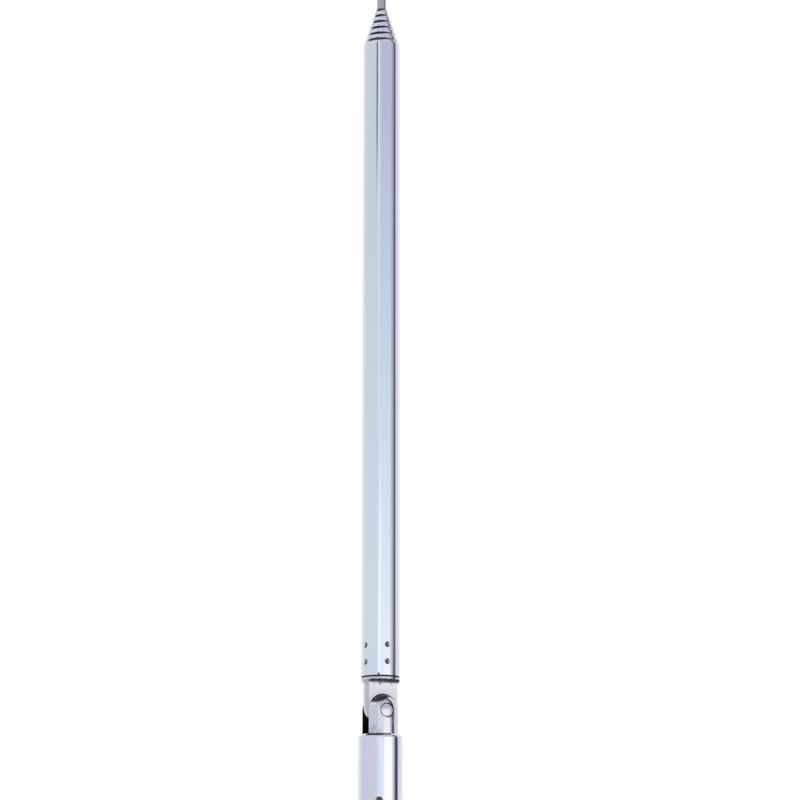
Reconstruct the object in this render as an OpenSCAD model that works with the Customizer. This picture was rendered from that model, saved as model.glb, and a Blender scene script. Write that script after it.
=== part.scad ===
/* [Telescopic sections] */
// Outer diameter of the largest tube
outer_tube_d = 8.0; // [7.8:0.1:8.4]
// Length of the largest tube, from its lower rim to its rolled-in end
outer_tube_len = 139.7; // [110:0.1:180]
// How much less each tube's diameter is than the one round it
section_drop = 1.0; // [0.96:0.02:1.04]
// Wall of the drawn tubes
tube_wall = 0.25; // [0.23:0.01:0.26]
// Diameter of the solid rod in the smallest tube
rod_d = 2.0; // [1.95:0.01:2.04]
// How far each closed section stands out of the one round it
ring_show = 1.55; // [1.2:0.05:2.4]
// Radius that the end of each tube is rolled in at
roll_r = 1.8; // [1.0:0.1:3]
// Radial running clearance between a section and the rolled end round it
slide_clear = 0.06; // [0.05:0.01:0.08]

/* [Stop bushes and contact springs] */
// Thickness of the bush flange that carries each section
flange_t = 1.0; // [0.8:0.1:1.6]
// Length of the bush spigot inside the section
spigot_len = 3.0; // [2.6:0.1:4]
// Diameter of the air hole through each bush
vent_d = 1.0; // [0.6:0.1:1.2]
// Length of each split contact spring
spring_len = 6.0; // [4:0.5:9]
// Thickness of the spring's sheet
spring_t = 0.10; // [0.08:0.01:0.12]
// Width of the spring's slit
spring_slit = 0.5; // [0.3:0.1:0.8]
// Depth of the bead that holds a tube on its bush
bead_depth = 0.12; // [0.08:0.01:0.14]
// Gap left between a closed section and what it stands on
seat_gap = 0.1; // [0.05:0.05:0.2]

/* [Rod and tip] */
// Bare rod between the smallest tube and the tip cap
rod_show = 4.0; // [3.5:0.5:8]
// Diameter of the tip cap
cap_d = 5.0; // [4:0.5:8]
// Length of the tip cap
cap_len = 6.0; // [5:0.5:10]
// Depth that the rod goes into the cap
cap_socket = 4.0; // [3:0.5:4.5]
// Diameter of the rod's riveted foot
rod_foot_d = 1.2; // [1:0.1:1.4]
// Height of the rivet head under the last bush
rod_rivet_h = 0.3; // [0.2:0.1:0.5]

/* [Knuckle] */
// Height of the hinge pin above the sleeve's rim
pin_above_rim = 4.7; // [4.5:0.1:6]
// Height of the largest tube's rim above the hinge pin
tube_above_pin = 7.0; // [6.8:0.1:9]
// Diameter of the tongue piece below its collar
tongue_d = 7.0; // [6.8:0.1:7.2]
// Height of the collar that the largest tube stands on
collar_h = 0.75; // [0.6:0.05:1.2]
// Height of the bevel under the collar
collar_bevel = 0.65; // [0.3:0.05:0.7]
// Thickness of the tongue at its bearing pads
tongue_t = 2.9; // [2.6:0.1:3.1]
// Radius of the round bearing pads on the tongue
pad_r = 4.0; // [3.75:0.05:4.2]
// Height of the bearing pads above the milled flats
pad_h = 0.12; // [0.05:0.01:0.2]
// How far the milled flats reach up into the collar's bevel
mill_up = 0.8; // [0.6:0.05:0.9]
// Radius that the milling cutter leaves at the top of the flats
mill_r = 0.85; // [0.5:0.05:1]
// Height of the tongue's dome centre above the pin
tongue_dome_up = 0.7; // [0.5:0.1:1]
// Length of the tongue's shank inside the largest tube
shank_len = 9.0; // [8.5:0.5:14]
// Height of the fork's dome centre above the pin
fork_dome_up = 0.25; // [0:0.05:0.6]
// Depth of the slot's floor below the pin
slot_depth = 6.2; // [6:0.1:6.4]
// Side play of the tongue in the slot
tongue_play = 0.05; // [0.02:0.01:0.1]
// Thickness of the spring washer beside the tongue
hinge_washer_t = 0.2; // [0.15:0.05:0.4]
// Diameter of the spring washer beside the tongue
hinge_washer_d = 5.0; // [4.6:0.1:5.4]

/* [Hinge pin] */
// Diameter of the hinge pin
pin_d = 2.2; // [2:0.1:2.4]
// Diameter of the pin's heads
pin_head_d = 2.7; // [2.6:0.1:2.9]
// How far the heads' rims are sunk below the fork's side
pin_head_sink = 0.35; // [0.3:0.05:0.5]
// Height of the heads' crowns
pin_crown = 0.22; // [0.1:0.02:0.3]
// Thickness of the heads, without their crowns
pin_head_t = 0.65; // [0.5:0.05:0.8]
// Radial gap round each head
pin_head_gap = 0.15; // [0.1:0.05:0.2]
// Radial running clearance of the tongue on the pin
pivot_clear = 0.05; // [0.03:0.01:0.08]

/* [Crimps] */
// Number of dimples in each row round the largest tube
crimp_count = 5; // [3:1:6]
// Angle of the first dimple from the hinge pin's head
crimp_turn = -3; // [-30:1:30]
// Height of the lower row above the tube's rim
crimp_low = 3.0; // [2.4:0.1:3.2]
// Distance between the two rows
crimp_pitch = 3.5; // [3:0.1:3.8]
// Radius of the punch that makes the dimples
crimp_r = 0.7; // [0.5:0.1:0.8]
// Depth of the dimples
crimp_depth = 0.35; // [0.25:0.05:0.4]

/* [Base] */
// Outer diameter of the base sleeve
sleeve_d = 9.2; // [9.1:0.1:9.6]
// Wall of the base sleeve
sleeve_wall = 0.5; // [0.45:0.01:0.55]
// Height of the sleeve's rim above the base's bottom face
rim_z = 32.5; // [28:0.5:50]
// Radius that the sleeve's rim is rolled in at
sleeve_roll_r = 0.9; // [0.85:0.05:1.3]
// Width of the rolled-in lip
rim_lip = 0.8; // [0.7:0.05:0.85]
// Radial gap between the fork and the lip
rim_gap = 0.1; // [0.05:0.05:0.2]
// Radial running clearance of the fork's shank in the sleeve
shank_clear = 0.05; // [0.03:0.01:0.08]
// Depth of the sleeve's dimples below its rim
sleeve_dimple_down = 13.8; // [8:0.1:14]
// Number of dimples round the sleeve
sleeve_dimple_count = 4; // [3:1:6]
// Angle of the first sleeve dimple from the hinge pin's head
sleeve_dimple_turn = -27; // [-45:1:45]
// Radius of the punch that makes the sleeve's dimples
sleeve_dimple_r = 1.0; // [0.8:0.1:1.2]
// Depth of the sleeve's dimples
sleeve_dimple_depth = 0.5; // [0.4:0.05:0.6]
// Length of the plug inside the sleeve
plug_len = 10; // [9.5:0.5:12]
// Thickness of the plug's foot flange
plug_foot_t = 1.5; // [1:0.1:2]
// Height of the bead that holds the sleeve on the plug
plug_bead_z = 6; // [4:0.5:7]
// Depth of the bead that holds the sleeve on the plug
plug_bead_depth = 0.3; // [0.2:0.05:0.35]
// Tapping diameter of the fixing hole, here for an M4 screw
thread_d = 3.3; // [2.5:0.1:4.2]
// Depth of the tapped hole
thread_len = 8; // [5:0.5:8]
// Thickness of the swivel's spring washer
swivel_washer_t = 0.3; // [0.2:0.05:0.4]
// Height of the spring washer's cone
swivel_washer_cone = 0.2; // [0.1:0.05:0.3]
// Bore of the spring washer
swivel_washer_bore = 4.0; // [3.5:0.5:5]

/* [Hidden] */
$fn = 96;

// Number of sections, of which the rod is the last
section_count = 7;
// Radial gap of parts that are pressed together
press_gap = 0.02;
// Small gap between a spring washer and each face beside it
washer_gap = 0.025;
// Radial gap round the swivel's spring washer
washer_rim_gap = 0.1;
// Gap between the fork's shoulder and the lip over it
shoulder_gap = 0.1;
// Gap round the groove that the sleeve's dimples run in
groove_gap = 0.1;
// Points along each rolled end
roll_points = 8;
// Bevel on the edges that meet at the largest tube's rim
rim_bevel = 0.15;
// Radial gap between each contact spring's ends and the section that it is on
spring_seat = 0.03;
// Half the height of a bead
bead_half = 0.5;
// Angle of a drilled hole's pointed end
drill_point = 118;
// Overshoot of cutting shapes
cut = 1;

pin_z = rim_z + pin_above_rim;
tube_rim_z = pin_z + tube_above_pin;
tongue_r = tongue_d / 2;
pin_r = pin_d / 2;
slot_w = tongue_t + tongue_play + hinge_washer_t + 2 * washer_gap;
slot_front = -slot_w / 2;
tongue_front = slot_front + tongue_play;
tongue_back = tongue_front + tongue_t;
sleeve_bore_r = sleeve_d / 2 - sleeve_wall;
sleeve_open_r = sleeve_d / 2 - rim_lip;
fork_r = sleeve_open_r - rim_gap;
pin_head_out = fork_r - pin_head_sink;
shank_r = sleeve_bore_r - shank_clear;
shank_bottom = plug_len + swivel_washer_t + swivel_washer_cone + 2 * washer_gap;

function section_r(i) = i == section_count ? rod_d / 2 : (outer_tube_d - (i - 1) * section_drop) / 2;
function bore_r(i) = section_r(i) - tube_wall;
function open_r(i) = section_r(i + 1) + slide_clear;
function top_z(i) = tube_rim_z + outer_tube_len + (i - 1) * ring_show;
function seat_z(i) = i == 2 ? tube_rim_z + shank_len : foot_z(i - 1) + spigot_len;
function rivet_h(i) = i == section_count ? rod_rivet_h : 0;
function foot_z(i) = seat_z(i) + seat_gap + rivet_h(i) + flange_t;

// Points on an arc about [x, y] from angle a to angle b
function arc(x, y, r, a, b) = [
    for (k = [0 : roll_points])
        let (t = a + (b - a) * k / roll_points) [x + r * cos(t), y + r * sin(t)]
];

// Where a tube of radius r, rolled in at radius roll, starts to close
function roll_angle(r, open, roll) = acos((roll - r + open) / roll);
function roll_start(r, open, roll, top) = top - roll * sin(roll_angle(r, open, roll));

// Outline of a tube's rolled-in end, from its outer wall over the end to its bore
function rolled_end(r, wall, open, roll, top) =
    let (start = roll_start(r, open, roll, top), land = acos((roll - r + open) / (roll - wall)))
    concat(
        arc(r - roll, start, roll, 0, roll_angle(r, open, roll)),
        arc(r - roll, start, roll - wall, land, 0)
    );

// Outline of a bead at height z in a wall that faces radius r, from below or from above
function bead(r, z, depth, up) = [
    [r, z - up * bead_half],
    [r - depth, z],
    [r, z + up * bead_half]
];

// A tube that is rolled in at the top and beaded on to its bush
module drawn_tube(i) {
    r = section_r(i);
    bead_z = foot_z(i) + spigot_len / 2;
    rotate_extrude()
        polygon(concat(
            [[r, foot_z(i)]],
            bead(r, bead_z, bead_depth, 1),
            rolled_end(r, tube_wall, open_r(i), roll_r, top_z(i)),
            bead(r - tube_wall, bead_z, bead_depth, -1),
            [[r - tube_wall, foot_z(i)]]
        ));
}

// Spheres of radius r set in a ring of the given radius
module ball_ring(count, turn, ring, z, r) {
    for (k = [0 : count - 1])
        rotate([0, 0, turn + k * 360 / count - 90])
            translate([ring, 0, z])
                sphere(r = r, $fn = 48);
}

module base_plug() {
    r = sleeve_bore_r - press_gap;
    color("goldenrod")
        difference() {
            rotate_extrude()
                polygon(concat(
                    [[0, 0], [sleeve_d / 2, 0], [sleeve_d / 2, plug_foot_t], [r, plug_foot_t]],
                    bead(r, plug_bead_z, plug_bead_depth, 1),
                    [[r, plug_len], [0, plug_len]]
                ));
            translate([0, 0, -cut])
                cylinder(d = thread_d, h = thread_len + cut);
            translate([0, 0, thread_len])
                cylinder(d1 = thread_d, d2 = 0, h = thread_d / 2 / tan(drill_point / 2));
        }
}

module base_sleeve() {
    r = sleeve_d / 2;
    dimple_z = rim_z - sleeve_dimple_down;
    dimple_ring = r + sleeve_dimple_r - sleeve_dimple_depth;
    color("lightsteelblue")
        difference() {
            union() {
                rotate_extrude()
                    polygon(concat(
                        [[r, plug_foot_t]],
                        bead(r, plug_bead_z, plug_bead_depth, 1),
                        rolled_end(r, sleeve_wall, sleeve_open_r, sleeve_roll_r, rim_z),
                        bead(sleeve_bore_r, plug_bead_z, plug_bead_depth, -1),
                        [[sleeve_bore_r, plug_foot_t]]
                    ));
                intersection() {
                    ball_ring(sleeve_dimple_count, sleeve_dimple_turn, dimple_ring, dimple_z,
                        sleeve_dimple_r + sleeve_wall);
                    translate([0, 0, dimple_z - 2 * sleeve_dimple_r])
                        cylinder(r = r - sleeve_wall / 2, h = 4 * sleeve_dimple_r);
                }
            }
            ball_ring(sleeve_dimple_count, sleeve_dimple_turn, dimple_ring, dimple_z, sleeve_dimple_r);
        }
}

module swivel_washer() {
    bore = swivel_washer_bore / 2;
    rim = sleeve_bore_r - washer_rim_gap;
    color("dimgray")
        translate([0, 0, plug_len + washer_gap])
            rotate_extrude()
                polygon([
                    [bore, swivel_washer_cone],
                    [rim, 0],
                    [rim, swivel_washer_t],
                    [bore, swivel_washer_cone + swivel_washer_t]
                ]);
}

// The sunk seat of one of the pin's heads
module head_seat() {
    translate([0, 0, pin_head_out - pin_head_t])
        cylinder(r = pin_head_d / 2 + pin_head_gap, h = fork_r);
}

module hinge_fork() {
    neck = roll_start(sleeve_d / 2, sleeve_open_r, sleeve_roll_r, rim_z) - shoulder_gap;
    groove_z = rim_z - sleeve_dimple_down;
    groove_half = sleeve_dimple_r + sleeve_wall / 2;
    groove_r = sleeve_d / 2 - sleeve_dimple_depth - sleeve_wall - groove_gap;
    color("gainsboro")
        difference() {
            union() {
                rotate_extrude()
                    polygon([
                        [0, shank_bottom],
                        [shank_r, shank_bottom],
                        [shank_r, groove_z - groove_half],
                        [groove_r, groove_z - groove_half],
                        [groove_r, groove_z + groove_half],
                        [shank_r, groove_z + groove_half],
                        [shank_r, neck],
                        [fork_r, neck],
                        [fork_r, pin_z + fork_dome_up],
                        [0, pin_z + fork_dome_up]
                    ]);
                translate([0, 0, pin_z + fork_dome_up])
                    sphere(r = fork_r);
            }
            translate([-2 * fork_r, slot_front, pin_z - slot_depth])
                cube([4 * fork_r, slot_w, slot_depth + 2 * fork_r]);
            translate([0, 0, pin_z])
                rotate([90, 0, 0]) {
                    cylinder(r = pin_r + press_gap, h = 4 * fork_r, center = true);
                    head_seat();
                    mirror([0, 0, 1])
                        head_seat();
                }
        }
}

module hinge_pin() {
    head_r = pin_head_d / 2;
    under = pin_head_out - pin_head_t;
    crown_r = (head_r * head_r + pin_crown * pin_crown) / 2 / pin_crown;
    crown_start = asin(head_r / crown_r);
    color("whitesmoke")
        translate([0, 0, pin_z])
            rotate([90, 0, 0])
                rotate_extrude()
                    polygon(concat(
                        arc(0, crown_r - pin_head_out - pin_crown, crown_r, -90, crown_start - 90),
                        [[head_r, -under], [pin_r, -under], [pin_r, under], [head_r, under]],
                        arc(0, pin_head_out + pin_crown - crown_r, crown_r, 90 - crown_start, 90)
                    ));
}

module hinge_washer() {
    color("dimgray")
        translate([0, tongue_back + washer_gap + hinge_washer_t, pin_z])
            rotate([90, 0, 0])
                difference() {
                    cylinder(d = hinge_washer_d, h = hinge_washer_t);
                    translate([0, 0, -cut])
                        cylinder(r = pin_r + pivot_clear, h = hinge_washer_t + 2 * cut);
                }
}

// What the milling cutter takes off one side of the tongue, towards +Y from the face of its pad
module milled_side() {
    reach = 2 * outer_tube_d;
    top = tube_above_pin - collar_h - collar_bevel + mill_up;
    difference() {
        translate([0, -pad_h, 0]) {
            translate([-reach, 0, -reach])
                cube([2 * reach, reach, reach + top - mill_r]);
            translate([-reach, mill_r, -reach])
                cube([2 * reach, reach, reach + top]);
            translate([-reach, mill_r, top - mill_r])
                rotate([0, 90, 0])
                    cylinder(r = mill_r, h = 2 * reach);
        }
        translate([0, -pad_h - cut, 0])
            rotate([-90, 0, 0])
                cylinder(r = pad_r, h = pad_h + cut);
    }
}

module hinge_tongue() {
    collar_r = outer_tube_d / 2;
    inner_r = bore_r(1) - press_gap;
    groove_r = collar_r - crimp_depth - tube_wall - press_gap;
    groove_half = crimp_r + tube_wall / 2;
    collar_z = tube_rim_z - collar_h;
    color("gainsboro")
        difference() {
            union() {
                rotate_extrude()
                    polygon(concat(
                        [
                            [0, pin_z + tongue_dome_up],
                            [tongue_r, pin_z + tongue_dome_up],
                            [tongue_r, collar_z - collar_bevel],
                            [collar_r, collar_z],
                            [collar_r, tube_rim_z - rim_bevel],
                            [collar_r - rim_bevel, tube_rim_z],
                            [inner_r, tube_rim_z]
                        ],
                        [
                            for (row = [0, 1], step = [0 : 3])
                                let (z = tube_rim_z + crimp_low + row * crimp_pitch)
                                [step % 3 == 0 ? inner_r : groove_r, z + (step < 2 ? -1 : 1) * groove_half]
                        ],
                        [[inner_r, tube_rim_z + shank_len], [0, tube_rim_z + shank_len]]
                    ));
                translate([0, 0, pin_z + tongue_dome_up])
                    sphere(r = tongue_r);
            }
            translate([0, 0, pin_z]) {
                translate([0, tongue_back, 0])
                    milled_side();
                mirror([0, 1, 0])
                    translate([0, -tongue_front, 0])
                        milled_side();
                rotate([90, 0, 0])
                    cylinder(r = pin_r + pivot_clear, h = 2 * outer_tube_d, center = true);
            }
        }
}

module outer_tube() {
    r = outer_tube_d / 2;
    ring = r + crimp_r - crimp_depth;
    color("lightsteelblue")
        difference() {
            union() {
                rotate_extrude()
                    polygon(concat(
                        [[r - rim_bevel, tube_rim_z], [r, tube_rim_z + rim_bevel]],
                        rolled_end(r, tube_wall, open_r(1), roll_r, top_z(1)),
                        [[r - tube_wall, tube_rim_z]]
                    ));
                intersection() {
                    for (row = [0, 1])
                        ball_ring(crimp_count, crimp_turn, ring,
                            tube_rim_z + crimp_low + row * crimp_pitch, crimp_r + tube_wall);
                    translate([0, 0, tube_rim_z + rim_bevel])
                        cylinder(r = r - tube_wall / 2, h = shank_len);
                }
            }
            for (row = [0, 1])
                ball_ring(crimp_count, crimp_turn, ring,
                    tube_rim_z + crimp_low + row * crimp_pitch, crimp_r);
        }
}

module tube_2() {
    color("lightsteelblue")
        drawn_tube(2);
}

module tube_3() {
    color("lightsteelblue")
        drawn_tube(3);
}

module tube_4() {
    color("lightsteelblue")
        drawn_tube(4);
}

module tube_5() {
    color("lightsteelblue")
        drawn_tube(5);
}

module tube_6() {
    color("lightsteelblue")
        drawn_tube(6);
}

module tip_rod() {
    top = top_z(section_count - 1) + rod_show + cap_socket;
    foot = foot_z(section_count);
    color("slategray")
        rotate_extrude()
            polygon([
                [0, foot - flange_t - rod_rivet_h],
                [rod_foot_d / 2 + rod_rivet_h / 2, foot - flange_t - rod_rivet_h],
                [rod_foot_d / 2 + rod_rivet_h / 2, foot - flange_t],
                [rod_foot_d / 2, foot - flange_t],
                [rod_foot_d / 2, foot],
                [rod_d / 2, foot],
                [rod_d / 2, top],
                [0, top]
            ]);
}

// The bush in the foot of a tube, with its flange under the tube's end
module stop_bush(i) {
    spigot_r = bore_r(i) - press_gap;
    flange_r = bore_r(i - 1) - slide_clear;
    color("goldenrod")
        rotate_extrude()
            polygon(concat(
                [
                    [vent_d / 2, foot_z(i) - flange_t],
                    [flange_r, foot_z(i) - flange_t],
                    [flange_r, foot_z(i)],
                    [spigot_r, foot_z(i)]
                ],
                bead(spigot_r, foot_z(i) + spigot_len / 2, bead_depth, 1),
                [[spigot_r, foot_z(i) + spigot_len], [vent_d / 2, foot_z(i) + spigot_len]]
            ));
}

module stop_bush_2() {
    stop_bush(2);
}

module stop_bush_3() {
    stop_bush(3);
}

module stop_bush_4() {
    stop_bush(4);
}

module stop_bush_5() {
    stop_bush(5);
}

module stop_bush_6() {
    stop_bush(6);
}

module stop_bush_7() {
    color("goldenrod")
        translate([0, 0, foot_z(section_count) - flange_t])
            difference() {
                cylinder(r = bore_r(section_count - 1) - slide_clear, h = flange_t);
                translate([0, 0, -cut])
                    cylinder(r = rod_foot_d / 2 + press_gap, h = flange_t + 2 * cut);
            }
}

// A split bronze sleeve, bulged at its middle, that stands on the bush's flange
module contact_spring(i) {
    inner = section_r(i) + spring_seat;
    bulge = bore_r(i - 1) - slide_clear - spring_t;
    foot = foot_z(i) + press_gap;
    color("peru")
        difference() {
            rotate_extrude()
                polygon([
                    [inner, foot],
                    [inner + spring_t, foot],
                    [bulge + spring_t, foot + spring_len / 3],
                    [bulge + spring_t, foot + spring_len * 2 / 3],
                    [inner + spring_t, foot + spring_len],
                    [inner, foot + spring_len],
                    [bulge, foot + spring_len * 2 / 3],
                    [bulge, foot + spring_len / 3]
                ]);
            translate([0, -spring_slit / 2, foot - cut])
                cube([outer_tube_d, spring_slit, spring_len + 2 * cut]);
        }
}

module contact_spring_2() {
    contact_spring(2);
}

module contact_spring_3() {
    contact_spring(3);
}

module contact_spring_4() {
    contact_spring(4);
}

module contact_spring_5() {
    contact_spring(5);
}

module contact_spring_6() {
    contact_spring(6);
}

module contact_spring_7() {
    contact_spring(section_count);
}

module tip_cap() {
    r = cap_d / 2;
    crown = r / 2;
    bottom = top_z(section_count - 1) + rod_show;
    color("lightsteelblue")
        difference() {
            rotate_extrude()
                polygon(concat(
                    [[0, bottom], [r - crown / 4, bottom], [r, bottom + crown / 4]],
                    arc(r - crown, bottom + cap_len - crown, crown, 0, 90),
                    [[0, bottom + cap_len]]
                ));
            translate([0, 0, bottom - cut])
                cylinder(r = rod_d / 2 + press_gap, h = cap_socket + press_gap + cut);
        }
}

base_plug();
base_sleeve();
swivel_washer();
hinge_fork();
hinge_pin();
hinge_washer();
hinge_tongue();
outer_tube();
tube_2();
tube_3();
tube_4();
tube_5();
tube_6();
tip_rod();
stop_bush_2();
stop_bush_3();
stop_bush_4();
stop_bush_5();
stop_bush_6();
stop_bush_7();
contact_spring_2();
contact_spring_3();
contact_spring_4();
contact_spring_5();
contact_spring_6();
contact_spring_7();
tip_cap();
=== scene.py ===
"""Looks of a closed telescopic antenna on its turning knuckle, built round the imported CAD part.

Sizes are in metres, in the CAD part's frame: +Z runs up the antenna from the foot's face, and the hinge pin
lies along Y. Those that a comment gives in mm are multiplied by MM where they are used.
"""
import math

import bpy
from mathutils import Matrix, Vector


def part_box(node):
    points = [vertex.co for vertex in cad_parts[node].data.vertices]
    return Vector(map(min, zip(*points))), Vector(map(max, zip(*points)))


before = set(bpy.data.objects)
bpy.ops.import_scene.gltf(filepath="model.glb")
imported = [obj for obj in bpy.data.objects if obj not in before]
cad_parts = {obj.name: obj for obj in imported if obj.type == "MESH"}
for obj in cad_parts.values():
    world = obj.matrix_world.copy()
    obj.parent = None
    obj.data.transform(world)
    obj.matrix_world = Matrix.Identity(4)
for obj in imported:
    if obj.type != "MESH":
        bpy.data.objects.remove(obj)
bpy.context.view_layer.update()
scene = bpy.context.scene

# Viewpoint
# The photograph looks up at the antenna from just below its foot, from half a metre away, so the gaps between
# the closed sections curve upwards. The antenna stands a little left of the middle of the picture.
MM = 0.001
VIEW_TURN = math.radians(-24.5)
VIEW_DISTANCE = 506.7 * MM
VIEW_RISE = math.radians(13.0)
VIEW_HEIGHT = -13.7 * MM
VIEW_ASIDE = math.radians(0.46)
toward_view = Vector((math.sin(VIEW_TURN), -math.cos(VIEW_TURN), 0))
view_right = Vector((math.cos(VIEW_TURN), math.sin(VIEW_TURN), 0))

viewpoint = bpy.data.objects.new("viewpoint", bpy.data.cameras.new("viewpoint"))
scene.collection.objects.link(viewpoint)
viewpoint.data.lens = 110
viewpoint.data.sensor_width = 36
viewpoint.data.clip_start = 10 * MM
viewpoint.location = toward_view * VIEW_DISTANCE + Vector((0, 0, VIEW_HEIGHT))
aim = view_right * VIEW_DISTANCE * math.tan(VIEW_ASIDE)
aim.z = VIEW_HEIGHT + VIEW_DISTANCE * math.tan(VIEW_RISE)
viewpoint.rotation_mode = "QUATERNION"
viewpoint.rotation_quaternion = (aim - viewpoint.location).to_track_quat("-Z", "Y")
scene.camera = viewpoint
scene.view_settings.view_transform = "Standard"


# Studio walls
# A white cove lit softly from all round. Plated metal shows it as upright bands: pale lilac grey walls, a
# broad white window low down to the right of the viewpoint, and a narrow dark gap beyond it.
def linear(hex_colour):
    """An sRGB hex colour such as "D8D8E0" as a linear colour with alpha."""
    parts = [int(hex_colour[i:i + 2], 16) / 255 for i in (0, 2, 4)]
    return tuple(c / 12.92 if c <= 0.04045 else ((c + 0.055) / 1.055) ** 2.4 for c in parts) + (1.0,)


def add(tree, kind, sockets=None, **settings):
    """A node in tree with its settings.

    sockets maps its inputs, by name or by place, to values or to the outputs they come from.
    """
    made = tree.nodes.new(kind)
    for name, value in settings.items():
        setattr(made, name, value)
    for name, value in (sockets or {}).items():
        if isinstance(value, bpy.types.NodeSocket):
            tree.links.new(value, made.inputs[name])
        else:
            made.inputs[name].default_value = value
    return made


def between(tree, value, low, high, soft):
    """How much value lies between low and high, with edges that fade over soft outside them."""
    rise = add(tree, "ShaderNodeMapRange", {0: value, 1: low - soft, 2: low}).outputs[0]
    fall = add(tree, "ShaderNodeMapRange", {0: value, 1: high, 2: high + soft, 3: 1.0, 4: 0.0}).outputs[0]
    return add(tree, "ShaderNodeMath", {0: rise, 1: fall}, operation="MULTIPLY").outputs[0]


# Each wall's colours by their height in degrees above the horizon. Above WALL_TOP they don't change, and
# between the two bearings of WALL_CORNER the left wall turns into the right one.
WALL_TOP = 32
WALL_CORNER = (-26, 2)
LEFT_WALL = [(0, "C6C8D7"), (5.2, "C6C8D7"), (7.5, "CBD8E3"), (16.6, "C5CED9"), (WALL_TOP, "C4C7D1")]
RIGHT_WALL = [(0, "D8E2F7"), (5.2, "D8E2F7"), (7.5, "DDEAF8"), (16.6, "BCCADF"), (20.2, "B2B9D1"),
              (WALL_TOP, "BEC2CE")]
# What stands before the walls, from back to front: its colour, its bearings in degrees to the right of the
# viewpoint and its heights, each as from, to and the width of a soft edge outside them
ALL_HEIGHTS = (-90, 90, 1)
LOW_DOWN = (-90, 5.2, 2.3)
PANELS = {
    "end wall, left": ("DADEE4", (-180, -138, 34), ALL_HEIGHTS),
    "end wall, right": ("DADCE2", (122, 180, 18), ALL_HEIGHTS),
    "window": ("FFFFFF", (28, 58, 12), LOW_DOWN),
    "lamp strip": ("FAFFFF", (-8, -4, 9), (7.5, 10, 2.3)),
    "lamp strip's dim upper part": ("CBD8EC", (-17, -11, 8), (11, 30, 4)),
    "jamb": ("8C8EA4", (83, 104, 20), ALL_HEIGHTS),
    "gap": ("5A5668", (88.5, 98, 5), ALL_HEIGHTS),
    "gap's dark foot": ("38344C", (86, 98, 6), LOW_DOWN),
    "gap's dark top": ("34323E", (90, 101, 6), (WALL_TOP, 90, 10)),
    "pale reveal": ("D2D0D8", (105.5, 122, 6), ALL_HEIGHTS),
    "cable": ("666A7A", (-29, -24, 5), (19.4, 21.5, 1.6)),
    "high lamp": ("E5E5EB", (-66, -44, 22), (WALL_TOP, 90, 9)),
}
# Plated metal gives back about seven tenths of its light, and this makes up for it, so that it shows the
# walls about as their colours are written
WALL_STRENGTH = 1.45


def wall_colour(tree, height, stops):
    """The colour of one wall at a height in degrees."""
    share = add(tree, "ShaderNodeMapRange", {0: height, 1: 0, 2: WALL_TOP}).outputs[0]
    ramp = add(tree, "ShaderNodeValToRGB", {0: share})
    elements = ramp.color_ramp.elements
    elements.remove(elements[-1])
    for k, (stop, colour) in enumerate(stops):
        if k > 0:
            elements.new(stop / WALL_TOP)
        elements[k].color = linear(colour)
    return ramp.outputs["Color"]


def walls(tree, bearing, height):
    """The colour that the walls and what stands before them show at a bearing and a height, in degrees."""
    left = wall_colour(tree, height, LEFT_WALL)
    right = wall_colour(tree, height, RIGHT_WALL)
    to_right = add(tree, "ShaderNodeMapRange", {0: bearing, 1: WALL_CORNER[0], 2: WALL_CORNER[1]}).outputs[0]
    shown = add(tree, "ShaderNodeMix", {0: to_right, 6: left, 7: right}, data_type="RGBA").outputs[2]
    for colour, bearings, heights in PANELS.values():
        across = between(tree, bearing, *bearings)
        up = between(tree, height, *heights)
        cover = add(tree, "ShaderNodeMath", {0: across, 1: up}, operation="MULTIPLY").outputs[0]
        shown = add(tree, "ShaderNodeMix", {
            0: cover, 6: shown, 7: linear(colour)}, data_type="RGBA").outputs[2]
    return shown


def bearing_of(tree, direction):
    """The bearing of direction, in degrees to the right of the viewpoint."""
    sideways, nearward = [
        add(tree, "ShaderNodeVectorMath", {0: direction, 1: axis}, operation="DOT_PRODUCT").outputs["Value"]
        for axis in (view_right, toward_view)]
    turn = add(tree, "ShaderNodeMath", {0: sideways, 1: nearward}, operation="ARCTAN2").outputs[0]
    return add(tree, "ShaderNodeMath", {0: turn}, operation="DEGREES").outputs[0]


surround = bpy.data.worlds.new("studio_surround")
scene.world = surround
surround.use_nodes = True
sky = surround.node_tree
sky.nodes.clear()
ray = add(sky, "ShaderNodeTexCoord").outputs["Generated"]
upward = add(sky, "ShaderNodeSeparateXYZ", {0: ray}).outputs["Z"]
rise = add(sky, "ShaderNodeMath", {0: upward}, operation="ARCSINE").outputs[0]
height = add(sky, "ShaderNodeMath", {0: rise}, operation="DEGREES").outputs[0]
shown = walls(sky, bearing_of(sky, ray), height)
# The dark ceiling leans a little to the viewpoint's left, and fades in between two angles from its middle
CEILING_COLOUR = "3A3A44"
CEILING_LEAN = math.radians(10)
CEILING_EDGE = math.radians(42)
CEILING_FULL = math.radians(33)
overhead = Vector((0, 0, 1)) * math.cos(CEILING_LEAN) - view_right * math.sin(CEILING_LEAN)
above = add(sky, "ShaderNodeVectorMath", {0: ray, 1: overhead}, operation="DOT_PRODUCT").outputs["Value"]
ceiling = add(sky, "ShaderNodeMapRange", {
    0: above, 1: math.cos(CEILING_EDGE), 2: math.cos(CEILING_FULL)},
    interpolation_type="SMOOTHSTEP").outputs[0]
shown = add(sky, "ShaderNodeMix", {
    0: ceiling, 6: shown, 7: linear(CEILING_COLOUR)}, data_type="RGBA").outputs[2]
lit = add(sky, "ShaderNodeBackground", {"Color": shown, "Strength": WALL_STRENGTH}).outputs[0]
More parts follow.
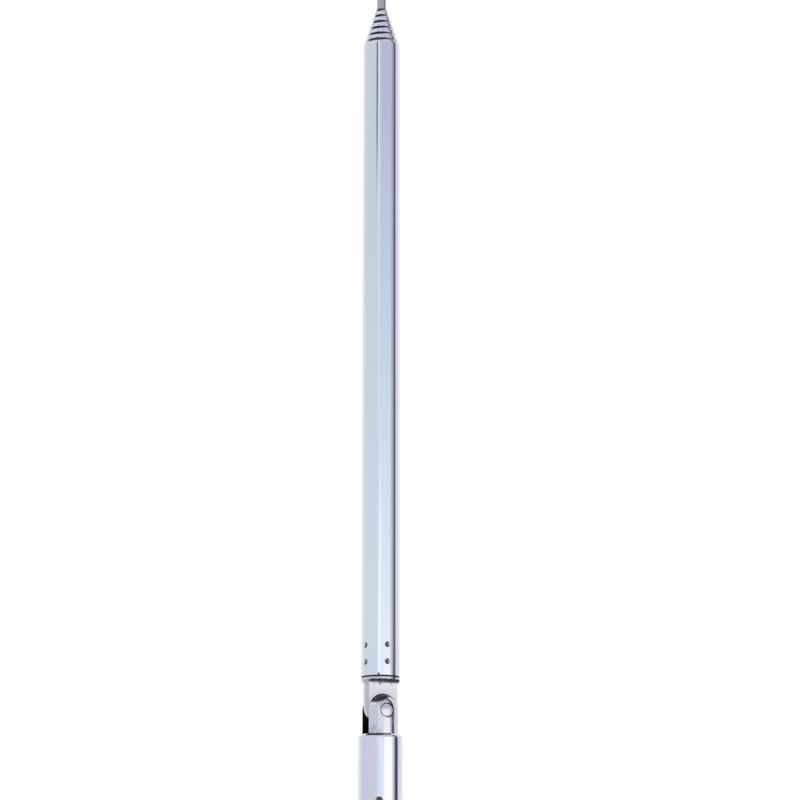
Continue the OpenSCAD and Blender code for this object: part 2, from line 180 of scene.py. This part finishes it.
# Seen directly, the surround is plain white
plain_white = add(sky, "ShaderNodeBackground", {"Color": (1, 1, 1, 1), "Strength": 1.0}).outputs[0]
seen = add(sky, "ShaderNodeLightPath").outputs["Is Camera Ray"]
backdrop = add(sky, "ShaderNodeMixShader", {0: seen, 1: lit, 2: plain_white}).outputs[0]
add(sky, "ShaderNodeOutputWorld", {"Surface": backdrop})

# Studio floor
# A sheet of matt white paper 16 mm below the antenna's foot. It shows only the antenna's faint shadow, and
# fades out into the white surround before its edge.
FLOOR_Z = -16 * MM
FLOOR_RADIUS = 1.6
FADE_FROM = 0.35 * FLOOR_RADIUS
FADE_TO = 0.98 * FLOOR_RADIUS
bpy.ops.mesh.primitive_circle_add(
    vertices=96, radius=FLOOR_RADIUS, fill_type="NGON", location=(0, 0, FLOOR_Z))
floor = bpy.context.object
floor.name = "studio_floor"
floor_white = bpy.data.materials.new("matt_white_floor")
floor_white.use_nodes = True
tree = floor_white.node_tree
tree.nodes.clear()
place = add(tree, "ShaderNodeTexCoord").outputs["Object"]
reach = add(tree, "ShaderNodeVectorMath", {0: place}, operation="LENGTH").outputs["Value"]
fade = add(tree, "ShaderNodeMapRange", {0: reach, 1: FADE_FROM, 2: FADE_TO}).outputs[0]
matt = add(tree, "ShaderNodeBsdfDiffuse", {"Color": linear("F2F2F2")}).outputs[0]
clear = add(tree, "ShaderNodeBsdfTransparent").outputs[0]
laid = add(tree, "ShaderNodeMixShader", {0: fade, 1: matt, 2: clear}).outputs[0]
# In the metal, the floor glows as a painted reflection: painted shade round the antenna's foot, pale on the
# viewpoint's left. These are the places, to the right of the antenna and out from it, between which it turns
# dark.
DARK_FLOOR = "3E4240"
PALE_FLOOR = "D8DADE"
DARK_ACROSS = (-48 * MM, -20 * MM)
DARK_REACH = (46 * MM, 30 * MM)
across = add(tree, "ShaderNodeVectorMath", {
    0: place, 1: view_right}, operation="DOT_PRODUCT").outputs["Value"]
rightward = add(tree, "ShaderNodeMapRange", {0: across, 1: DARK_ACROSS[0], 2: DARK_ACROSS[1]}).outputs[0]
close_by = add(tree, "ShaderNodeMapRange", {0: reach, 1: DARK_REACH[0], 2: DARK_REACH[1]}).outputs[0]
dark = add(tree, "ShaderNodeMath", {0: rightward, 1: close_by}, operation="MULTIPLY").outputs[0]
shadow = add(tree, "ShaderNodeMix", {
    0: dark, 6: linear(PALE_FLOOR), 7: linear(DARK_FLOOR)}, data_type="RGBA").outputs[2]
shadowed = add(tree, "ShaderNodeEmission", {"Color": shadow}).outputs[0]
# Further out this painted reflection carries the walls' bands on, so that an upright tube keeps them when it
# is seen from above
BANDS_REACH = (100 * MM, 180 * MM)
banded = add(tree, "ShaderNodeEmission", {
    "Color": walls(tree, bearing_of(tree, place), 0.0), "Strength": WALL_STRENGTH}).outputs[0]
far_off = add(tree, "ShaderNodeMapRange", {0: reach, 1: BANDS_REACH[0], 2: BANDS_REACH[1]}).outputs[0]
reflected = add(tree, "ShaderNodeMixShader", {0: far_off, 1: shadowed, 2: banded}).outputs[0]
mirrored = add(tree, "ShaderNodeLightPath").outputs["Is Glossy Ray"]
underfoot = add(tree, "ShaderNodeMixShader", {0: mirrored, 1: laid, 2: reflected}).outputs[0]
add(tree, "ShaderNodeOutputMaterial", {"Surface": underfoot})
floor.data.materials.append(floor_white)

# Key window
# One large soft lamp above the viewpoint's right shoulder, which gives the antenna its faint shadow. It
# doesn't show in the metal, since the walls already hold a window there.
KEY_PLACE = toward_view * 0.8 + view_right * 0.9 + Vector((0, 0, 1.1))
KEY_TARGET = Vector((0, 0, 0.1))
key = bpy.data.objects.new("key_window", bpy.data.lights.new("key_window", "AREA"))
key.data.shape = "RECTANGLE"
key.data.size = 0.7
key.data.size_y = 0.9
key.data.energy = 5.0
key.location = KEY_PLACE
key.rotation_mode = "QUATERNION"
key.rotation_quaternion = (KEY_TARGET - KEY_PLACE).to_track_quat("-Z", "Y")
key.visible_glossy = False
scene.collection.objects.link(key)

# Base plug
# The foot is turned from free-cutting brass rod, drilled and tapped M4 for the screw that holds the antenna.
# The cutting tool leaves fine rings round it, and the sleeve is rolled on to a groove in its side.
# Dirt and painted shade on the metals both take this dark colour and roughness
DIRT_AND_SHADE_COLOUR = "2C2A2E"
DIRT_AND_SHADE_ROUGHNESS = 0.5


def metal(name, colour, tint, roughness, spread, grain, depth, smudge=None, soil_and_shade=None):
    """A bare or plated metal whose tool marks follow grain, the marks' size in mm along X, Y and Z.

    Over the marks, which are depth mm high, the colour turns to tint and the roughness varies by spread.
    smudge is a softer patch's (size in mm, added roughness). The last argument is a function that, from the
    node tree, returns how much dirt and painted shade each place has; both are drawn dark and dull.
    """
    made = bpy.data.materials.new(name)
    made.use_nodes = True
    tree = made.node_tree
    tree.nodes.clear()
    place = add(tree, "ShaderNodeTexCoord").outputs["Object"]
    scaled = add(tree, "ShaderNodeMapping", {
        "Vector": place, "Scale": tuple(1 / (size * MM) for size in grain)}).outputs[0]
    marks = add(tree, "ShaderNodeTexNoise", {"Vector": scaled, "Scale": 1.0, "Detail": 3.0}).outputs[0]
    # Noise seldom goes below 0.3 or above 0.7, so these are the marks' two ends
    rough = add(tree, "ShaderNodeMapRange", {
        0: marks, 1: 0.3, 2: 0.7, 3: roughness - spread, 4: roughness + spread}).outputs[0]
    if smudge:
        size, more = smudge
        patches = add(tree, "ShaderNodeTexNoise", {
            "Vector": place, "Scale": 1 / (size * MM), "Detail": 4.0, "Roughness": 0.6}).outputs[0]
        # Only the upper half of the noise is a smudge
        patchiness = add(tree, "ShaderNodeMapRange", {0: patches, 1: 0.5, 2: 0.72, 3: 0.0, 4: more}).outputs[0]
        rough = add(tree, "ShaderNodeMath", {0: rough, 1: patchiness}, operation="ADD").outputs[0]
    tone = add(tree, "ShaderNodeMix", {
        0: marks, 6: linear(colour), 7: linear(tint)}, data_type="RGBA").outputs[2]
    # Dirt and painted shade: where the last argument's mask is high, the metal turns dark and dull
    if soil_and_shade:
        dirt_and_shade = soil_and_shade(tree)
        tone = add(tree, "ShaderNodeMix", {
            0: dirt_and_shade, 6: tone, 7: linear(DIRT_AND_SHADE_COLOUR)}, data_type="RGBA").outputs[2]
        rough = add(tree, "ShaderNodeMix", {0: dirt_and_shade, 2: rough, 3: DIRT_AND_SHADE_ROUGHNESS}).outputs[0]
    shade = add(tree, "ShaderNodeBsdfPrincipled", {"Metallic": 1.0, "Base Color": tone, "Roughness": rough})
    relief = add(tree, "ShaderNodeBump", {"Height": marks, "Distance": depth * MM, "Strength": 1.0})
    tree.links.new(relief.outputs[0], shade.inputs["Normal"])
    add(tree, "ShaderNodeOutputMaterial", {"Surface": shade.outputs[0]})
    return made


# How far tumbling and plating break a turned, milled or sawn edge, and the least angle of such an edge
BROKEN_EDGE = 0.08 * MM
EDGE_ANGLE = math.radians(35)
# Corners this close are one corner of two faces, and a face this close to the untouched copy lies on it
SAME_CORNER = 0.0005 * MM
ON_THE_COPY = 0.004 * MM


def finish_node(name, material, edge=0):
    """Gives a CAD node its metal and rounds off its sharp edges by edge, in metres.

    An untouched copy, which isn't rendered, hands its exact normals back to every face beside a broken edge.
    """
    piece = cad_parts[name]
    piece.data.materials.clear()
    piece.data.materials.append(material)
    if not edge:
        return piece
    exact = piece.copy()
    exact.name = name + "_exact"
    exact.hide_render = True
    exact.hide_viewport = True
    scene.collection.objects.link(exact)
    weld = piece.modifiers.new("joined_faces", "WELD")
    weld.merge_threshold = SAME_CORNER
    bevel = piece.modifiers.new("broken_edges", "BEVEL")
    bevel.width = edge
    bevel.segments = 2
    bevel.limit_method = "ANGLE"
    bevel.angle_limit = EDGE_ANGLE
    bevel.harden_normals = True
    carried = piece.modifiers.new("exact_normals", "DATA_TRANSFER")
    carried.object = exact
    carried.use_loop_data = True
    carried.data_types_loops = {"CUSTOM_NORMAL"}
    carried.loop_mapping = "POLYINTERP_NEAREST"
    carried.use_max_distance = True
    carried.max_distance = ON_THE_COPY
    return piece


# Turned brass: a warm yellow whose rings, 0.08 mm from one pass of the tool to the next, draw its highlights
# out along the piece
turned_brass = metal("turned_brass", "D9B878", "C9A25C", roughness=0.22, spread=0.07, grain=(3, 3, 0.08),
                     depth=0.002, smudge=(2.5, 0.1))
plug = finish_node("base_plug", turned_brass, BROKEN_EDGE)

# The M4 thread in mm. The tap's V starts inside the drilled bore and ends in a flat, an eighth of the pitch
# wide. It opens a quarter more than a 60 degree V, which thins the crests between its turns.
THREAD_PITCH = 0.7
THREAD_MAJOR_R = 2.0
THREAD_DEPTH = 7.2
TAP_INNER_R = 1.6
TAP_FLAT = 0.125 * THREAD_PITCH
TAP_OPENING = 2 * math.tan(math.radians(30)) * 1.25
TAP_STEPS = 48


def thread_cutter(name):
    """The V that the tap cuts, wound from one turn outside the foot's face at z = 0 to the thread's depth."""
    turns = (THREAD_DEPTH + THREAD_PITCH) / THREAD_PITCH
    mouth = TAP_FLAT + (THREAD_MAJOR_R - TAP_INNER_R) * TAP_OPENING
    profile = ((TAP_INNER_R, -mouth / 2), (TAP_INNER_R, mouth / 2), (THREAD_MAJOR_R, TAP_FLAT / 2),
               (THREAD_MAJOR_R, -TAP_FLAT / 2))
    points = []
    for k in range(int(turns * TAP_STEPS) + 1):
        angle = math.tau * k / TAP_STEPS
        rise = -THREAD_PITCH + THREAD_PITCH * k / TAP_STEPS
        for radius, up in profile:
            points.append((radius * math.cos(angle) * MM, radius * math.sin(angle) * MM, (rise + up) * MM))
    last = len(points) - 4
    faces = [(3, 2, 1, 0), (last, last + 1, last + 2, last + 3)]
    for k in range(0, last, 4):
        for a, b in ((0, 1), (1, 2), (2, 3), (3, 0)):
            faces.append((k + a, k + b, k + b + 4, k + a + 4))
    cutter = bpy.data.objects.new(name, bpy.data.meshes.new(name))
    cutter.data.from_pydata(points, [], faces)
    cutter.data.materials.append(turned_brass)
    cutter.hide_render = True
    cutter.hide_viewport = True
    scene.collection.objects.link(cutter)
    return cutter


cut_thread = plug.modifiers.new("cut_thread", "BOOLEAN")
cut_thread.object = thread_cutter("m4_thread_cutter")
cut_thread.operation = "DIFFERENCE"
cut_thread.solver = "EXACT"


# Base sleeve
# A drawn brass tube, nickel and chrome plated, its lip rolled in over the fork and its side punched with
# dimples that run in the shank's groove.
def near(tree, value, low, high, soft):
    """How much value, an output in metres, lies between low and high, in mm, with edges soft mm wide."""
    return between(tree, value, low * MM, high * MM, soft * MM)


def place_axes(tree):
    """The X, Y and Z of each place on a piece, in the part's frame."""
    place = add(tree, "ShaderNodeTexCoord").outputs["Object"]
    return add(tree, "ShaderNodeSeparateXYZ", {"Vector": place}).outputs


# Painted shade fills a dimple from this far under the round surface inwards, and fades over this much, in mm.
# It covers the metal by this share.
DIMPLE_SHADE_UNDER = 0.3
DIMPLE_SHADE_FADE = 0.25
DIMPLE_SHADE = 0.85


def sunken(tree, low, high, surface):
    """How much painted shade a place gets that lies under a round surface, between the heights low and high
    in mm.
    """
    x, y, z = place_axes(tree)
    flat = add(tree, "ShaderNodeCombineXYZ", {"X": x, "Y": y}).outputs[0]
    out = add(tree, "ShaderNodeVectorMath", {0: flat}, operation="LENGTH").outputs["Value"]
    inside = near(tree, out, 0.0, surface - DIMPLE_SHADE_UNDER, DIMPLE_SHADE_FADE)
    level = near(tree, z, low, high, 0.1)
    whole = add(tree, "ShaderNodeMath", {0: level, 1: inside}, operation="MULTIPLY").outputs[0]
    return add(tree, "ShaderNodeMath", {0: whole, 1: DIMPLE_SHADE}, operation="MULTIPLY").outputs[0]


# The dimples lie between these heights over the sleeve's foot and under its rim, in mm
OVER_FOOT = 8
UNDER_RIM = 5


def sleeve_dimple_shade(tree):
    """Painted shade in the sleeve's dimples."""
    low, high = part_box("base_sleeve")
    return sunken(tree, low.z / MM + OVER_FOOT, high.z / MM - UNDER_RIM, high.x / MM)


# Bright chrome over drawn and polished brass: a clear mirror. Its draw lines are drawn 0.4 mm wide, coarser
# than the real ones, so that they show and soften the bands a little.
sleeve_chrome = metal("sleeve_bright_chrome", "DDDDDE", "D6D6D8", roughness=0.07, spread=0.02,
                      grain=(0.4, 0.4, 12), depth=0.0004, smudge=(1.8, 0.05), soil_and_shade=sleeve_dimple_shade)
finish_node("base_sleeve", sleeve_chrome)

# Swivel washer
# A coned washer stamped from spring steel and blued by heat. It lies on the plug and presses the fork's
# shank up, so that the knuckle turns stiffly. Its thin oxide makes it dark, bluish and half matt.
blued_steel = metal("blued_spring_steel", "6E7078", "565A66", roughness=0.34, spread=0.08, grain=(1, 1, 1),
                    depth=0.001)
finish_node("swivel_washer", blued_steel)

# Fork
# Turned from brass bar, domed at its end, slotted by a saw and plated, with a seat sunk in each arm for the
# rivet's heads. Its shank turns in the sleeve.
pin_z = sum(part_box("hinge_pin"), Vector()).z / 2
sleeve_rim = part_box("base_sleeve")[1].z / MM
# The slot's half width and the radius of a seat, both with 0.01 mm added, in mm
SLOT_HALF = 1.61
SEAT_R = 1.51
# The smear's blots, how far it and its painted contact shadow reach above the rim and fade, and the X between
# which they come on, in mm
SMEAR_AND_SHADOW_BLOT = 0.9
SMEAR_AND_SHADOW_REACH = 0.5
SMEAR_AND_SHADOW_FADE = 1.6
SMEAR_AND_SHADOW_X = (-0.6, -1.8)
SMEAR_AND_SHADOW_DARKNESS = 0.4


def fork_dirt_and_shade(tree):
    """Painted shade in the slot and the heads' seats; a smear and painted contact shadow over the sleeve's
    rim.
    """
    x, y, z = place_axes(tree)
    # Painted shade in the slot
    slot = near(tree, y, -SLOT_HALF, SLOT_HALF, 0.02)
    up = add(tree, "ShaderNodeMath", {0: z, 1: pin_z}, operation="SUBTRACT").outputs[0]
    around = add(tree, "ShaderNodeCombineXYZ", {"X": x, "Y": up}).outputs[0]
    from_pin = add(tree, "ShaderNodeVectorMath", {0: around}, operation="LENGTH").outputs["Value"]
    # Painted shade round the rivet's heads, in their seats
    seats = near(tree, from_pin, -1.0, SEAT_R, 0.03)
    place = add(tree, "ShaderNodeTexCoord").outputs["Object"]
    # A blotchy smear with painted contact shadow just above the sleeve's rim, on the left
    blots = add(tree, "ShaderNodeTexNoise", {
        "Vector": place, "Scale": 1 / (SMEAR_AND_SHADOW_BLOT * MM), "Detail": 4.0}).outputs[0]
    smear_and_shadow = add(tree, "ShaderNodeMapRange", {0: blots, 1: 0.42, 2: 0.62, 3: 0.0, 4: SMEAR_AND_SHADOW_DARKNESS}).outputs[0]
    by_rim = near(tree, z, sleeve_rim, sleeve_rim + SMEAR_AND_SHADOW_REACH, SMEAR_AND_SHADOW_FADE)
    on_left = add(tree, "ShaderNodeMapRange", {0: x, 1: SMEAR_AND_SHADOW_X[0] * MM, 2: SMEAR_AND_SHADOW_X[1] * MM}).outputs[0]
    for mask in (by_rim, on_left):
        smear_and_shadow = add(tree, "ShaderNodeMath", {0: smear_and_shadow, 1: mask}, operation="MULTIPLY").outputs[0]
    dirt_and_shade = slot
    for more in (seats, smear_and_shadow):
        dirt_and_shade = add(tree, "ShaderNodeMath", {0: dirt_and_shade, 1: more}, operation="MAXIMUM").outputs[0]
    return dirt_and_shade


# Chrome over turned brass that wasn't polished first: a duller mirror with rings 0.06 mm apart, and hazy
# patches where hands touch it
fork_chrome = metal("fork_plated_slotted", "D4D4D6", "CAC8CA", roughness=0.10, spread=0.04,
                    grain=(1.2, 1.2, 0.06), depth=0.0006, smudge=(1.4, 0.14), soil_and_shade=fork_dirt_and_shade)
finish_node("hinge_fork", fork_chrome, BROKEN_EDGE)

# Hinge pin
# A soft steel rivet through the fork's arms and the tongue. Its heads are peened over in their seats, which
# leaves them bright and a little uneven.
RIVET_EDGE = 0.05 * MM
# Bare peened steel: brighter and warmer than the chrome round it, with dents 0.4 mm across that break up
# what it mirrors
peened_steel = metal("peened_rivet_steel", "E4DEE0", "BEB6BC", roughness=0.17, spread=0.08,
                     grain=(0.4, 0.4, 0.4), depth=0.04)
finish_node("hinge_pin", peened_steel, RIVET_EDGE)

# Hinge washer
# A thin washer of the same blued spring steel, between the tongue and the rear arm. It gives the tilt its
# stiffness.
finish_node("hinge_washer", blued_steel)

# Tongue
# Turned with its collar, then milled flat on both sides up to a radius under the collar, which leaves the
# round bearing pads. It is plated like the fork, and its shank is crimped in the largest tube.
tube_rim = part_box("outer_tube")[0].z / MM
# How far under the tube's rim the groove and the collar's bevel reach, how far above it the shank ends, and
# the size of a speck, in mm
GROOVE_UNDER = 0.14
COLLAR_UNDER = 1.5
SHANK_LENGTH = 9.0
SPECK = 0.55
# How far down a face has to look before painted shade lies on it, and the X over which the collar's left end,
# which is left pale, turns to painted shade, in mm
UNDERSIDE_SHADE_FACING = (-0.3, -0.62)
UNDERSIDE_SHADE_X = (-3.35, -2.9)


def tongue_dirt_and_shade(tree):
    """Painted shade in the seam over the collar and, mottled, under it but for its left end; specks of dirt
    on it.
    """
    x, y, z = place_axes(tree)
    # Painted shade in the seam where the tube's rim meets the collar
    groove = near(tree, z, tube_rim - GROOVE_UNDER, tube_rim + SHANK_LENGTH, 0.04)
    place = add(tree, "ShaderNodeTexCoord").outputs["Object"]
    specks = add(tree, "ShaderNodeTexNoise", {
        "Vector": place, "Scale": 1 / (SPECK * MM), "Detail": 3.0}).outputs[0]
    worn = add(tree, "ShaderNodeMapRange", {0: specks, 1: 0.58, 2: 0.7, 3: 0.0, 4: 0.8}).outputs[0]
    collar = near(tree, z, tube_rim - COLLAR_UNDER, tube_rim, 0.3)
    scuffs = add(tree, "ShaderNodeMath", {0: worn, 1: collar}, operation="MULTIPLY").outputs[0]
    # Painted shade, mottled, on the collar's downward faces, but not on its left end
    normal = add(tree, "ShaderNodeTexCoord").outputs["Normal"]
    facing = add(tree, "ShaderNodeSeparateXYZ", {"Vector": normal}).outputs["Z"]
    underside_shade = add(tree, "ShaderNodeMapRange", {0: facing, 1: UNDERSIDE_SHADE_FACING[0], 2: UNDERSIDE_SHADE_FACING[1]}).outputs[0]
    patchiness = add(tree, "ShaderNodeMapRange", {0: specks, 1: 0.36, 2: 0.6, 3: 0.55, 4: 0.9}).outputs[0]
    away_from_left_end = add(tree, "ShaderNodeMapRange", {0: x, 1: UNDERSIDE_SHADE_X[0] * MM, 2: UNDERSIDE_SHADE_X[1] * MM}).outputs[0]
    for mask in (collar, patchiness, away_from_left_end):
        underside_shade = add(tree, "ShaderNodeMath", {0: underside_shade, 1: mask}, operation="MULTIPLY").outputs[0]
    dirt_and_shade = groove
    for more in (scuffs, underside_shade):
        dirt_and_shade = add(tree, "ShaderNodeMath", {0: dirt_and_shade, 1: more}, operation="MAXIMUM").outputs[0]
    return dirt_and_shade


# Chrome over milled brass, scuffed by use: a pale grey with a soft shine, short marks up to half a
# millimetre long and hazy patches
tongue_chrome = metal("tongue_plated_milled", "CCCACC", "B7B5B9", roughness=0.12, spread=0.05,
                      grain=(0.5, 0.5, 0.3), depth=0.0012, smudge=(1.4, 0.12), soil_and_shade=tongue_dirt_and_shade)
finish_node("hinge_tongue", tongue_chrome, BROKEN_EDGE)

# Tubes
# Six seamless brass tubes, drawn thin, chrome plated and polished along their length. Each end is rolled in
# so that the next section can't leave it, and the largest is crimped on to the tongue's shank.
NICK = Vector((-1.98, -3.48, 44.6)) * MM
NICK_R = 0.16
# How far up a lip has to look before painted shade lies on it, the painted shade's height on the largest
# tube's rim, and the heights over the rim between which its two rows of dimples lie, in mm
LIP_FACING = (0.44, 0.54)
RIM_SHADE_HEIGHT = 0.16
DIMPLE_ROWS = (1, 9)


def tube_dirt_and_shade(tree):
    """Painted shade on each rolled end's lip, on the largest tube's rim and in its dimples; dirt in a nick.
    """
    # Painted shade on the upward-facing lip of each rolled end
    normal = add(tree, "ShaderNodeTexCoord").outputs["Normal"]
    facing = add(tree, "ShaderNodeSeparateXYZ", {"Vector": normal}).outputs["Z"]
    lip = add(tree, "ShaderNodeMapRange", {0: facing, 1: LIP_FACING[0], 2: LIP_FACING[1]}).outputs[0]
    x, y, z = place_axes(tree)
    # Painted shade in the seam at the largest tube's rim
    rim = near(tree, z, 0.0, tube_rim + RIM_SHADE_HEIGHT, 0.04)
    place = add(tree, "ShaderNodeTexCoord").outputs["Object"]
    from_nick = add(tree, "ShaderNodeVectorMath", {0: place, 1: NICK}, operation="DISTANCE").outputs["Value"]
    nick = near(tree, from_nick, -1, NICK_R, 0.14)
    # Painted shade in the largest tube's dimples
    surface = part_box("outer_tube")[1].x / MM
    dimples = sunken(tree, tube_rim + DIMPLE_ROWS[0], tube_rim + DIMPLE_ROWS[1], surface)
    dirt_and_shade = lip
    for more in (rim, nick, dimples):
        dirt_and_shade = add(tree, "ShaderNodeMath", {0: dirt_and_shade, 1: more}, operation="MAXIMUM").outputs[0]
    return dirt_and_shade


# Bright chrome on a drawn tube: the clearest mirror here. Its polishing lines are drawn 0.25 mm wide, coarser
# than the real ones, so that they show as a slight streak along the tube.
tube_chrome = metal("drawn_tube_bright_chrome", "DCDCDD", "D6D6D8", roughness=0.06, spread=0.02,
                    grain=(0.25, 0.25, 16), depth=0.0003, smudge=(2.2, 0.04), soil_and_shade=tube_dirt_and_shade)
for name in ("outer_tube", "tube_2", "tube_3", "tube_4", "tube_5", "tube_6"):
    finish_node(name, tube_chrome)

# Rod
# The last section is solid stainless steel wire, its foot riveted in its bush. It is drawn through a die and
# left unplated, so it is greyer and less clear than the tubes. The die's lines are drawn 0.2 mm wide,
# coarser than the real ones, so that they show.
drawn_steel = metal("drawn_stainless_wire", "C0BABC", "AEA8AC", roughness=0.16, spread=0.05,
                    grain=(0.2, 0.2, 10), depth=0.001)
finish_node("tip_rod", drawn_steel)

# Stop bushes
# Small bushes turned from brass like the plug, one at the foot of each inner section, which stop it at the
# rolled end of the tube round it.
INNER_SECTIONS = range(2, 8)
for number in INNER_SECTIONS:
    finish_node("stop_bush_%d" % number, turned_brass)

# Contact springs
# Split sleeves of thin phosphor bronze sheet, one round each bush, which grip the tube round them and carry
# the signal. Rolled bronze is reddish and half matt, and its rolling lines are drawn 0.2 mm wide, coarser
# than the real ones, so that they show.
rolled_bronze = metal("rolled_phosphor_bronze", "C08A5E", "A87448", roughness=0.26, spread=0.06,
                      grain=(0.2, 0.2, 6), depth=0.001)
for number in INNER_SECTIONS:
    finish_node("contact_spring_%d" % number, rolled_bronze)

# Tip cap
# A turned brass cap, plated like the sleeve and pressed on the rod's end. The antenna is drawn out by it.
# Its edges are broken like the fork's, and it shows the same clear bands as the sleeve.
finish_node("tip_cap", sleeve_chrome, BROKEN_EDGE)
